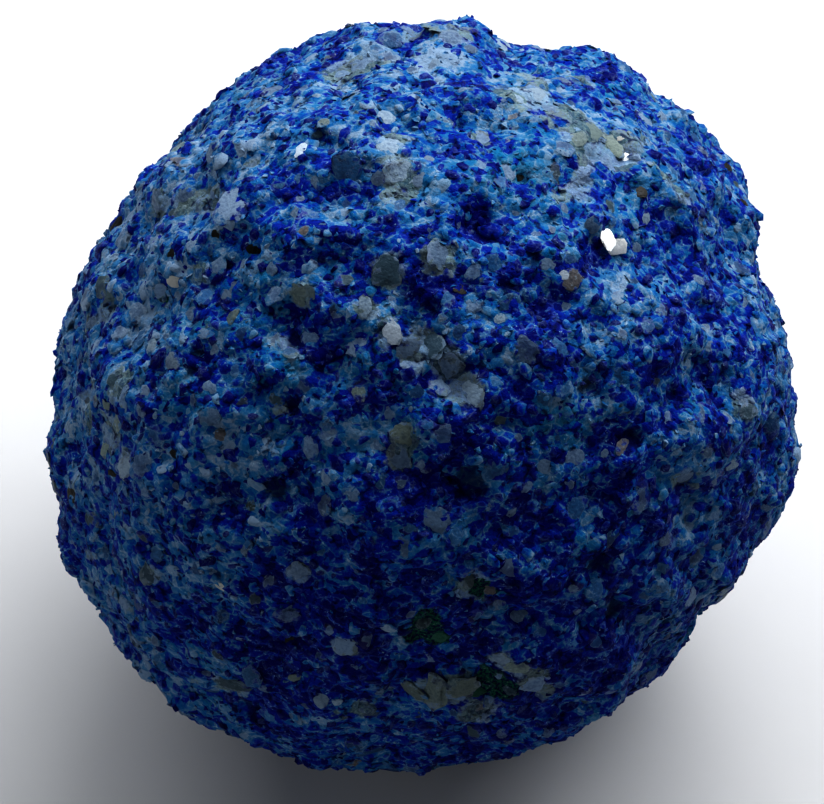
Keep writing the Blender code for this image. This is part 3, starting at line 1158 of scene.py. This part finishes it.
class NODULE_OT_sand(bpy.types.Operator):
    """Set the sand grains in the crust"""

    bl_idname = "nodule.sand"
    bl_label = "Sand grains"

    def execute(self, context):
        layout = set_stones()
        stones = layout["sand_grains"]
        rng = np.random.default_rng(SAND_SEED)
        shapes = [sand_shape(rng, COARSE) for _ in range(COARSE_SHAPES)]
        shapes += [sand_shape(rng, FINE) for _ in range(FINE_SHAPES)]
        big = each(stones, "across") > FINE_FROM
        fine = COARSE_SHAPES + rng.integers(0, FINE_SHAPES, len(stones))
        coarse = rng.integers(0, COARSE_SHAPES, len(stones))
        shape_of = np.where(big, fine, coarse)
        values = values_of(layout, stones, SAND_MOOD_STRAY, rng)
        values["tint"] = sand_tints(stones, rng)
        values.update(sand_finish(stones, rng))
        mesh = joined_stones("sand_grains", stones, shapes, shape_of, SAND_SETTING, values, rng)
        add_piece("sand_grains", mesh, sand_material())
        return {"FINISHED"}


class NODULE_OT_crystals(bpy.types.Operator):
    """Grow the azurite crystals between the sand grains"""

    bl_idname = "nodule.crystals"
    bl_label = "Azurite crystals"

    def execute(self, context):
        grow_azurite("azurite_crystals")
        return {"FINISHED"}


class NODULE_OT_specks(bpy.types.Operator):
    """Fill the gaps with small crystals"""

    bl_idname = "nodule.specks"
    bl_label = "Small crystals"

    def execute(self, context):
        grow_azurite("azurite_specks")
        return {"FINISHED"}


FLOOR_HALF = 0.6
FLOOR_PATCH = 4.0 * MM
FLOOR_SHADE = 0.96  # the darker patches' share of the floor's colour
SKY_COLOUR = (0.80, 0.88, 1.0, 1.0)

# Each lamp's bearing from +X and angle above the floor in degrees, then its distance, width and height.
LAMPS = {
    "key": (80.0, 54.0, 150.0 * MM, 360.0 * MM, 100.0 * MM),
    "side": (56.0, 47.0, 150.0 * MM, 170.0 * MM, 100.0 * MM),
    "fill": (225.0, 25.0, 260.0 * MM, 180.0 * MM, 180.0 * MM),
}


def add_lamp(name, bearing, elevation, distance, wide, high, watts):
    """Adds a flat lamp that faces the nodule."""
    data = bpy.data.lights.new(name, "AREA")
    data.shape = "RECTANGLE"
    data.size = wide
    data.size_y = high
    data.energy = watts
    around, above = math.radians(bearing), math.radians(elevation)
    level = math.cos(above)
    toward = Vector((level * math.cos(around), level * math.sin(around), math.sin(above)))
    lamp = bpy.data.objects.new(name, data)
    lamp.location = BOX_MIDDLE + toward * distance
    lamp.rotation_euler = toward.to_track_quat("Z", "Y").to_euler()
    bpy.context.scene.collection.objects.link(lamp)


def floor_material():
    """The floor: almost even, and a little darker in patches."""
    shade = Shade("pale_floor")
    patchy = shade.clouds(FLOOR_PATCH)
    darker = tuple(value * FLOOR_SHADE for value in named_colour("floor"))
    return shade.finish(Base_Color=shade.mix(patchy, "floor", darker), Roughness=0.8 + 0.1 * patchy)


class NODULE_OT_stage(bpy.types.Operator):
    """Set up the pale floor, the soft lamps and the camera"""

    bl_idname = "nodule.stage"
    bl_label = "Stage"

    def execute(self, context):
        scene = context.scene
        build = bmesh.new()
        bmesh.ops.create_grid(build, x_segments=1, y_segments=1, size=FLOOR_HALF)
        mesh = bpy.data.meshes.new("floor")
        build.to_mesh(mesh)
        build.free()
        mesh.materials.append(floor_material())
        floor = bpy.data.objects.new("floor", mesh)
        scene.collection.objects.link(floor)
        for name, placing in LAMPS.items():
            add_lamp(f"{name}_lamp", *placing, getattr(scene.nodule_light, f"{name}_power"))
        world = bpy.data.worlds.new("studio")
        world.use_nodes = True
        background = world.node_tree.nodes["Background"]
        background.inputs["Color"].default_value = SKY_COLOUR
        background.inputs["Strength"].default_value = scene.nodule_light.sky
        scene.world = world
        camera = bpy.data.cameras.new("camera")
        camera.sensor_width = SENSOR_WIDE
        camera.lens = SENSOR_WIDE * CAMERA_DISTANCE / (PICTURE_SCALE * PICTURE_WIDE)
        camera.clip_start = CLIP_START
        _, _, back = camera_axes()
        holder = bpy.data.objects.new("camera", camera)
        holder.location = camera_place()
        holder.rotation_euler = back.to_track_quat("Z", "Y").to_euler()
        scene.collection.objects.link(holder)
        scene.camera = holder
        scene.view_settings.view_transform = "Standard"
        scene.view_settings.look = "High Contrast"
        return {"FINISHED"}


class NODULE_PT_panel(bpy.types.Panel):
    """Lists the steps that make the nodule"""

    bl_idname = "NODULE_PT_panel"
    bl_label = "Azurite nodule"
    bl_space_type = "VIEW_3D"
    bl_region_type = "UI"
    bl_category = "Nodule"

    def draw(self, context):
        for operator in OPERATORS:
            self.layout.operator(operator.bl_idname)
        for title in GROUPS:
            group = getattr(context.scene, title)
            for name in group.bl_rna.properties.keys():
                if name not in ("rna_type", "name"):
                    self.layout.prop(group, name)


OPERATORS = (NODULE_OT_crust, NODULE_OT_sand, NODULE_OT_crystals, NODULE_OT_specks, NODULE_OT_stage)
GROUPS = {
    "nodule_sizes": NODULE_PG_sizes,
    "nodule_colours": NODULE_PG_colours,
    "nodule_light": NODULE_PG_light,
}
CLASSES = (*GROUPS.values(), *OPERATORS, NODULE_PT_panel)


def register():
    for item in CLASSES:
        bpy.utils.register_class(item)
    for name, group in GROUPS.items():
        setattr(bpy.types.Scene, name, PointerProperty(type=group))


def unregister():
    for name in GROUPS:
        delattr(bpy.types.Scene, name)
    for item in reversed(CLASSES):
        bpy.utils.unregister_class(item)


def main():
    register()
    bpy.ops.nodule.crust()
    bpy.ops.nodule.sand()
    bpy.ops.nodule.crystals()
    bpy.ops.nodule.specks()
    bpy.ops.nodule.stage()


if __name__ == "__main__":
    main()
